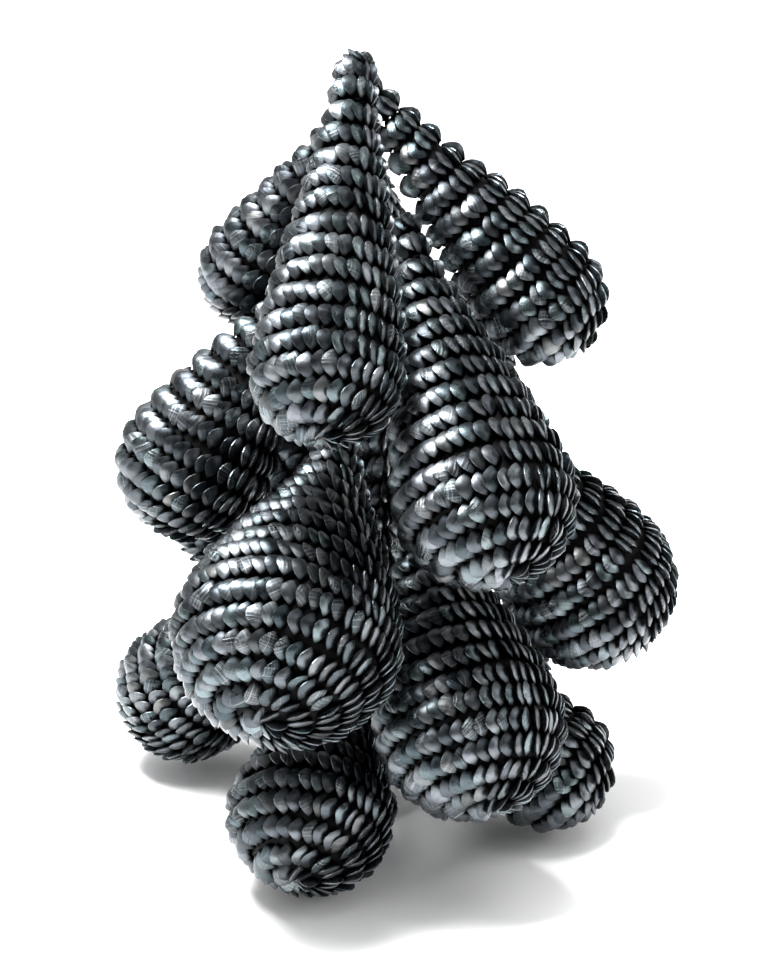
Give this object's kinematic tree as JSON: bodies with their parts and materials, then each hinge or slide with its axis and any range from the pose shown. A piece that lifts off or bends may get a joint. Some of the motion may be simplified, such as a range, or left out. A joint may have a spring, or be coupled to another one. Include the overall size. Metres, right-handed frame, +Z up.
{
  "type": "magnetic desk sculpture",
  "caption": "Free-standing magnetic desk sculpture: teardrop lobes of lens-shaped ferrite stones hang in tiers round a stem, and each lobe pulls off and turns.",
  "frame": {"origin": "centre of the flat underside of the stem foot, on the desk surface", "axes": "+Z up along the stem; -Y faces the viewer, so the top_front lobe leans towards -Y and the middle_right lobe towards +X"},
  "size_m": [0.1174, 0.1312, 0.161],
  "materials": {
    "winding_ferrite": "polished dark grey ferrite with fine scratches",
    "tip_ferrite": "polished dark grey ferrite with fine scratches",
    "core_ferrite": "dull dark ferrite in shadow",
    "stem_ferrite": "polished dark grey ferrite"
  },
  "bodies": {
    "root": {"stem_foot": "stem_ferrite", "stem_lower": "stem_ferrite", "stem_middle": "stem_ferrite", "stem_upper": "stem_ferrite"},
    "top_front_tip": {"top_front_tip": "tip_ferrite"},
    "top_front_lobe": {"top_front_winding": "winding_ferrite", "top_front_core": "core_ferrite"},
    "top_right_tip": {"top_right_tip": "tip_ferrite"},
    "top_right_lobe": {"top_right_winding": "winding_ferrite", "top_right_core": "core_ferrite"},
    "top_left_tip": {"top_left_tip": "tip_ferrite"},
    "top_left_lobe": {"top_left_winding": "winding_ferrite", "top_left_core": "core_ferrite"},
    "top_back_tip": {"top_back_tip": "tip_ferrite"},
    "top_back_lobe": {"top_back_winding": "winding_ferrite", "top_back_core": "core_ferrite"},
    "upper_front_tip": {"upper_front_tip": "tip_ferrite"},
    "upper_front_lobe": {"upper_front_winding": "winding_ferrite", "upper_front_core": "core_ferrite"},
    "upper_left_tip": {"upper_left_tip": "tip_ferrite"},
    "upper_left_lobe": {"upper_left_winding": "winding_ferrite", "upper_left_core": "core_ferrite"},
    "upper_right_tip": {"upper_right_tip": "tip_ferrite"},
    "upper_right_lobe": {"upper_right_winding": "winding_ferrite", "upper_right_core": "core_ferrite"},
    "upper_back_tip": {"upper_back_tip": "tip_ferrite"},
    "upper_back_lobe": {"upper_back_winding": "winding_ferrite", "upper_back_core": "core_ferrite"},
    "middle_front_tip": {"middle_front_tip": "tip_ferrite"},
    "middle_front_lobe": {"middle_front_winding": "winding_ferrite", "middle_front_core": "core_ferrite"},
    "middle_right_tip": {"middle_right_tip": "tip_ferrite"},
    "middle_right_lobe": {"middle_right_winding": "winding_ferrite", "middle_right_core": "core_ferrite"},
    "middle_left_tip": {"middle_left_tip": "tip_ferrite"},
    "middle_left_lobe": {"middle_left_winding": "winding_ferrite", "middle_left_core": "core_ferrite"},
    "middle_back_tip": {"middle_back_tip": "tip_ferrite"},
    "middle_back_lobe": {"middle_back_winding": "winding_ferrite", "middle_back_core": "core_ferrite"},
    "lower_front_tip": {"lower_front_tip": "tip_ferrite"},
    "lower_front_lobe": {"lower_front_winding": "winding_ferrite", "lower_front_core": "core_ferrite"},
    "bottom_front_tip": {"bottom_front_tip": "tip_ferrite"},
    "bottom_front_lobe": {"bottom_front_winding": "winding_ferrite", "bottom_front_core": "core_ferrite"},
    "bottom_right_tip": {"bottom_right_tip": "tip_ferrite"},
    "bottom_right_lobe": {"bottom_right_winding": "winding_ferrite", "bottom_right_core": "core_ferrite"},
    "bottom_back_right_tip": {"bottom_back_right_tip": "tip_ferrite"},
    "bottom_back_right_lobe": {"bottom_back_right_winding": "winding_ferrite", "bottom_back_right_core": "core_ferrite"},
    "bottom_back_tip": {"bottom_back_tip": "tip_ferrite"},
    "bottom_back_lobe": {"bottom_back_winding": "winding_ferrite", "bottom_back_core": "core_ferrite"},
    "bottom_left_tip": {"bottom_left_tip": "tip_ferrite"},
    "bottom_left_lobe": {"bottom_left_winding": "winding_ferrite", "bottom_left_core": "core_ferrite"}
  },
  "joints": [
    {"name": "top_front_pull", "type": "slide", "parent": "root", "child": "top_front_tip", "axis": [-0.1055, -0.8596, -0.5], "range_m": [0, 0.03]},
    {"name": "top_front_twist", "type": "hinge", "parent": "top_front_tip", "child": "top_front_lobe", "pos_m": [-0.0024, -0.0056, 0.1567], "axis": [-0.0815, -0.6641, -0.7431], "continuous": true},
    {"name": "top_right_pull", "type": "slide", "parent": "root", "child": "top_right_tip", "axis": [0.8438, -0.1948, -0.5], "range_m": [0, 0.03]},
    {"name": "top_right_twist", "type": "hinge", "parent": "top_right_tip", "child": "top_right_lobe", "pos_m": [-0.0013, 0.003, 0.152], "axis": [0.652, -0.1505, -0.7431], "continuous": true},
    {"name": "top_left_pull", "type": "slide", "parent": "root", "child": "top_left_tip", "axis": [-0.7423, 0.446, -0.5], "range_m": [0, 0.03]},
    {"name": "top_left_twist", "type": "hinge", "parent": "top_left_tip", "child": "top_left_lobe", "pos_m": [-0.006, 0.0045, 0.145], "axis": [-0.4415, 0.2653, -0.8572], "continuous": true},
    {"name": "top_back_pull", "type": "slide", "parent": "root", "child": "top_back_tip", "axis": [-0.0453, 0.8648, -0.5], "range_m": [0, 0.03]},
    {"name": "top_back_twist", "type": "hinge", "parent": "top_back_tip", "child": "top_back_lobe", "pos_m": [-0.0015, 0.0085, 0.143], "axis": [-0.0376, 0.7184, -0.6947], "continuous": true},
    {"name": "upper_front_pull", "type": "slide", "parent": "root", "child": "upper_front_tip", "axis": [0.2962, -0.8138, -0.5], "range_m": [0, 0.03]},
    {"name": "upper_front_twist", "type": "hinge", "parent": "upper_front_tip", "child": "upper_front_lobe", "pos_m": [0.0072, -0.008, 0.1275], "axis": [0.2418, -0.6645, -0.7071], "continuous": true},
    {"name": "upper_left_pull", "type": "slide", "parent": "root", "child": "upper_left_tip", "axis": [-0.8282, -0.2532, -0.5], "range_m": [0, 0.03]},
    {"name": "upper_left_twist", "type": "hinge", "parent": "upper_left_tip", "child": "upper_left_lobe", "pos_m": [-0.0085, -0.001, 0.12], "axis": [-0.5348, -0.1635, -0.829], "continuous": true},
    {"name": "upper_right_pull", "type": "slide", "parent": "root", "child": "upper_right_tip", "axis": [0.3522, 0.7912, -0.5], "range_m": [0, 0.03]},
    {"name": "upper_right_twist", "type": "hinge", "parent": "upper_right_tip", "child": "upper_right_lobe", "pos_m": [0.006, 0.007, 0.117], "axis": [0.3023, 0.6789, -0.6691], "continuous": true},
    {"name": "upper_back_pull", "type": "slide", "parent": "root", "child": "upper_back_tip", "axis": [-0.3522, 0.7912, -0.5], "range_m": [0, 0.03]},
    {"name": "upper_back_twist", "type": "hinge", "parent": "upper_back_tip", "child": "upper_back_lobe", "pos_m": [-0.003, 0.0085, 0.113], "axis": [-0.2975, 0.6681, -0.682], "continuous": true},
    {"name": "middle_front_pull", "type": "slide", "parent": "root", "child": "middle_front_tip", "axis": [-0.2366, -0.9491, -0.2079], "range_m": [0, 0.03]},
    {"name": "middle_front_twist", "type": "hinge", "parent": "middle_front_tip", "child": "middle_front_lobe", "pos_m": [-0.0045, -0.0075, 0.087], "axis": [-0.2074, -0.8317, -0.515], "continuous": true},
    {"name": "middle_right_pull", "type": "slide", "parent": "root", "child": "middle_right_tip", "axis": [0.8639, 0.0604, -0.5], "range_m": [0, 0.03]},
    {"name": "middle_right_twist", "type": "hinge", "parent": "middle_right_tip", "child": "middle_right_lobe", "pos_m": [0.009, 0.001, 0.096], "axis": [0.6142, 0.0429, -0.788], "continuous": true},
    {"name": "middle_left_pull", "type": "slide", "parent": "root", "child": "middle_left_tip", "axis": [-0.8109, 0.547, -0.2079], "range_m": [0, 0.03]},
    {"name": "middle_left_twist", "type": "hinge", "parent": "middle_left_tip", "child": "middle_left_lobe", "pos_m": [-0.008, 0.004, 0.084], "axis": [-0.6063, 0.409, -0.682], "continuous": true},
    {"name": "middle_back_pull", "type": "slide", "parent": "root", "child": "middle_back_tip", "axis": [0.1361, 0.9686, -0.2079], "range_m": [0, 0.03]},
    {"name": "middle_back_twist", "type": "hinge", "parent": "middle_back_tip", "child": "middle_back_lobe", "pos_m": [0.0015, 0.009, 0.083], "axis": [0.1066, 0.7586, -0.6428], "continuous": true},
    {"name": "lower_front_pull", "type": "slide", "parent": "root", "child": "lower_front_tip", "axis": [0.282, -0.8188, -0.5], "range_m": [0, 0.03]},
    {"name": "lower_front_twist", "type": "hinge", "parent": "lower_front_tip", "child": "lower_front_lobe", "pos_m": [0.008, -0.0065, 0.072], "axis": [0.2302, -0.6686, -0.7071], "continuous": true},
    {"name": "bottom_front_pull", "type": "slide", "parent": "root", "child": "bottom_front_tip", "axis": [-0.225, -0.9744, 0], "range_m": [0, 0.03]},
    {"name": "bottom_front_twist", "type": "hinge", "parent": "bottom_front_tip", "child": "bottom_front_lobe", "pos_m": [-0.005, -0.0075, 0.035], "axis": [-0.1908, -0.8263, -0.5299], "continuous": true},
    {"name": "bottom_right_pull", "type": "slide", "parent": "root", "child": "bottom_right_tip", "axis": [0.9653, -0.2587, -0.0349], "range_m": [0, 0.01]},
    {"name": "bottom_right_twist", "type": "hinge", "parent": "bottom_right_tip", "child": "bottom_right_lobe", "pos_m": [0.009, -0.0015, 0.0395], "axis": [0.729, -0.1953, -0.6561], "continuous": true},
    {"name": "bottom_back_right_pull", "type": "slide", "parent": "root", "child": "bottom_back_right_tip", "axis": [0.6428, 0.766, 0], "range_m": [0, 0.03]},
    {"name": "bottom_back_right_twist", "type": "hinge", "parent": "bottom_back_right_tip", "child": "bottom_back_right_lobe", "pos_m": [0.006, 0.007, 0.038], "axis": [0.5134, 0.6118, -0.6018], "continuous": true},
    {"name": "bottom_back_pull", "type": "slide", "parent": "root", "child": "bottom_back_tip", "axis": [-0.1736, 0.9848, 0], "range_m": [0, 0.03]},
    {"name": "bottom_back_twist", "type": "hinge", "parent": "bottom_back_tip", "child": "bottom_back_lobe", "pos_m": [-0.002, 0.009, 0.041], "axis": [-0.144, 0.8164, -0.5592], "continuous": true},
    {"name": "bottom_left_pull", "type": "slide", "parent": "root", "child": "bottom_left_tip", "axis": [-0.8796, 0.4677, -0.0872], "range_m": [0, 0.01]},
    {"name": "bottom_left_twist", "type": "hinge", "parent": "bottom_left_tip", "child": "bottom_left_lobe", "pos_m": [-0.008, 0.0045, 0.051], "axis": [-0.6457, 0.3434, -0.682], "continuous": true}
  ]
}
